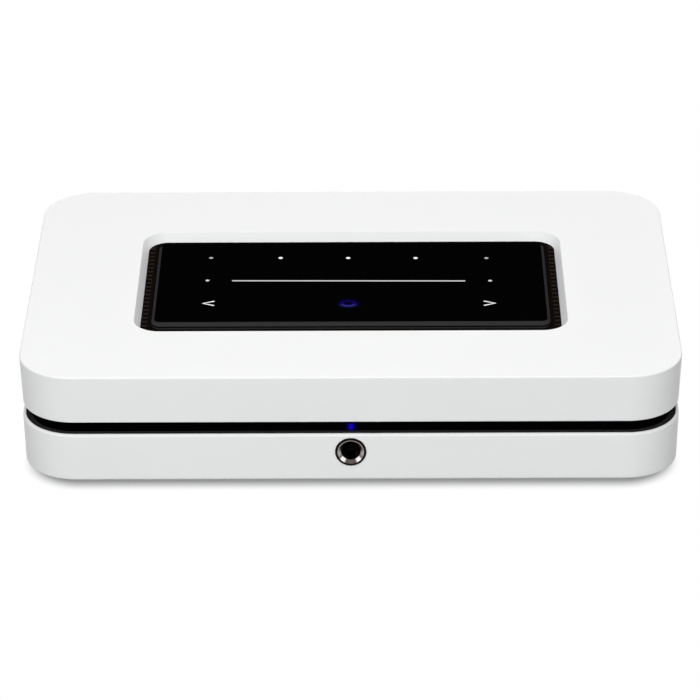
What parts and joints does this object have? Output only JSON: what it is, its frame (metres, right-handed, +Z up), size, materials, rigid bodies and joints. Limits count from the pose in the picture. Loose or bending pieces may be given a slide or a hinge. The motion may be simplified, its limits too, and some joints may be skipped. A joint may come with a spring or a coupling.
{
  "type": "network music streamer",
  "caption": "Flat white network audio streamer: drafted upper and lower shells round a black channel, sunk black glass touch panel, front headphone socket, row of rear sockets.",
  "frame": {"origin": "under the middle of the case, on the plane of the feet", "axes": "+X to the right seen from the front, the front faces -Y, +Z up"},
  "size_m": [0.22, 0.146, 0.0413],
  "materials": {
    "white_shell": "satin white",
    "gloss_black": "polished black",
    "black_plastic": "fine grained black",
    "black_glass": "polished, back-printed black",
    "black_rubber": "matte",
    "circuit_board": "solder resist over glass fibre",
    "light_chip": "clear resin",
    "ribbon": "flat cable",
    "ivory_plastic": "moulded",
    "blue_light": "lit blue",
    "nickel": "bright nickel",
    "chip_black": "moulded epoxy",
    "black_aluminium": "black anodised",
    "tin": "tinned sheet",
    "insulating_film": "polyester film",
    "choke_green": "coated ring",
    "yellow_plastic": "moulded box",
    "can_sleeve": "shrunk sleeve",
    "ferrite": "sintered",
    "winding_tape": "polyester tape",
    "gold": "gold plated",
    "red_lens": "red lens",
    "orange_plastic": "moulded",
    "white_plastic": "moulded",
    "red_plastic": "moulded",
    "screw_steel": "black zinc"
  },
  "bodies": {
    "unit": {"upper_shell": "white_shell", "lower_shell": "white_shell", "middle_frame": "gloss_black", "vent_frame": "black_plastic", "touch_glass": "black_glass", "glass_gasket": "black_rubber", "icon_light_mask": "black_plastic", "touch_board": "circuit_board", "icon_lights": "light_chip", "touch_ribbon": "ribbon", "ribbon_connectors": "ivory_plastic", "status_light_pipe": "blue_light", "status_light": "light_chip", "infrared_receiver": "gloss_black", "front_board": "circuit_board", "headphone_bezel": "gloss_black", "headphone_collar": "nickel", "headphone_body": "black_plastic", "headphone_contacts": "nickel", "main_board": "circuit_board", "processor_and_memory": "chip_black", "heat_sink": "black_aluminium", "converter_shield": "tin", "wireless_module": "tin", "antennas": "tin", "power_board": "circuit_board", "insulating_sheet": "insulating_film", "fuse": "tin", "filter_choke": "choke_green", "filter_capacitor": "yellow_plastic", "bulk_capacitor": "can_sleeve", "output_capacitors": "can_sleeve", "power_transistor": "chip_black", "transformer_core": "ferrite", "transformer_winding": "winding_tape", "board_link": "ivory_plastic", "rear_panel": "black_plastic", "mains_inlet_body": "black_plastic", "mains_inlet_pins": "nickel", "lan_shell": "tin", "lan_insert": "black_plastic", "lan_contacts": "gold", "usb_shell": "tin", "usb_tongue": "black_plastic", "hdmi_shell": "tin", "hdmi_tongue": "black_plastic", "optical_body": "black_plastic", "optical_emitter": "red_lens", "rca_bodies": "black_plastic", "rca_insulator_digital": "orange_plastic", "rca_insulator_subwoofer": "black_plastic", "rca_insulator_left": "white_plastic", "rca_insulator_right": "red_plastic", "rca_sleeves": "gold", "rca_contacts": "gold", "mini_sockets": "black_plastic", "small_screws": "screw_steel", "case_screws": "screw_steel", "rubber_feet": "black_rubber"},
    "flap": {"optical_flap": "black_plastic"}
  },
  "joints": [
    {"name": "optical_flap_hinge", "type": "hinge", "parent": "unit", "child": "flap", "pos_m": [0.00139, 0.06205, 0.02055], "axis": [-1, 0, 0], "range_deg": [0, 82], "stiffness_Nm_per_rad": 0.0002, "springref_deg": -28.65}
  ]
}
